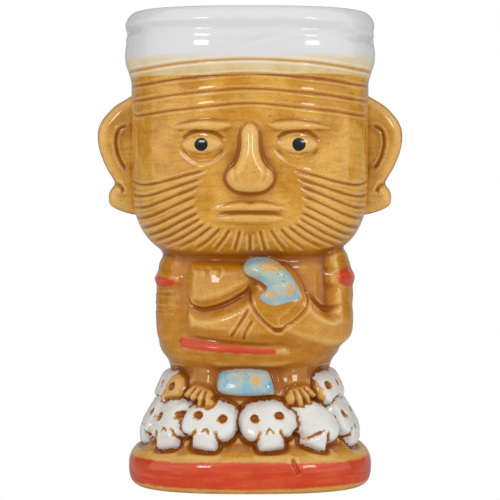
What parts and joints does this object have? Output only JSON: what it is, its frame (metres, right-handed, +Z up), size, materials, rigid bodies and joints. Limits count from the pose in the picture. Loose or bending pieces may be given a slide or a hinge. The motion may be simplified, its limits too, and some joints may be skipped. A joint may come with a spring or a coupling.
{
  "type": "tiki mug",
  "caption": "Tall ceramic drinking mug shaped as a standing figure with a large square head, side ears and a rolled white rim, on a round-cornered base ringed with small skulls.",
  "frame": {"origin": "centre of the foot, on the surface that the mug stands on", "axes": "+Z up along the vessel's axis, the figure faces -Y, its left side is +X"},
  "size_m": [0.1082, 0.09, 0.165],
  "materials": {
    "honey_glaze": "gloss amber glaze over carved stoneware, darker where it pools in the grooves",
    "white_glaze": "gloss opaque white glaze, feathered into the amber below",
    "red_glaze": "gloss clear glaze over brushed red underglaze",
    "blue_glaze": "gloss pale blue glaze with dark specks and bare patches",
    "skull_glaze": "gloss white glaze with amber sockets and ragged edges",
    "eye_glaze": "gloss amber glaze with a black underglaze pupil"
  },
  "bodies": {
    "root": {"plinth": "honey_glaze", "base_floor": "white_glaze", "mound_shell": "honey_glaze", "torso_shell": "honey_glaze", "head_shell": "honey_glaze", "lower_rim_roll": "white_glaze", "upper_rim_roll": "white_glaze", "left_ear": "honey_glaze", "right_ear": "honey_glaze", "nose": "honey_glaze", "left_eye": "eye_glaze", "left_brow": "honey_glaze", "right_eye": "eye_glaze", "right_brow": "honey_glaze", "upper_lip": "honey_glaze", "lower_lip": "honey_glaze", "right_shoulder": "honey_glaze", "right_arm": "honey_glaze", "right_armband": "red_glaze", "left_shoulder": "honey_glaze", "left_arm": "honey_glaze", "left_armband": "red_glaze", "left_forearm": "honey_glaze", "left_hand": "honey_glaze", "held_gourd": "blue_glaze", "belt_front": "red_glaze", "belt_back": "red_glaze", "chest": "honey_glaze", "belly": "honey_glaze", "apron_panel": "blue_glaze", "lower_skull_01": "skull_glaze", "lower_skull_02": "skull_glaze", "lower_skull_03": "skull_glaze", "lower_skull_04": "skull_glaze", "lower_skull_05": "skull_glaze", "lower_skull_06": "skull_glaze", "lower_skull_07": "skull_glaze", "lower_skull_08": "skull_glaze", "lower_skull_09": "skull_glaze", "lower_skull_10": "skull_glaze", "lower_skull_11": "skull_glaze", "lower_skull_12": "skull_glaze", "lower_skull_13": "skull_glaze", "left_leg": "honey_glaze", "left_foot": "honey_glaze", "right_leg": "honey_glaze", "right_foot": "honey_glaze", "upper_skull_1": "skull_glaze", "upper_skull_2": "skull_glaze", "upper_skull_3": "skull_glaze", "upper_skull_4": "skull_glaze", "upper_skull_5": "skull_glaze", "upper_skull_6": "skull_glaze", "upper_skull_7": "skull_glaze", "upper_skull_8": "skull_glaze"}
  },
  "joints": []
}
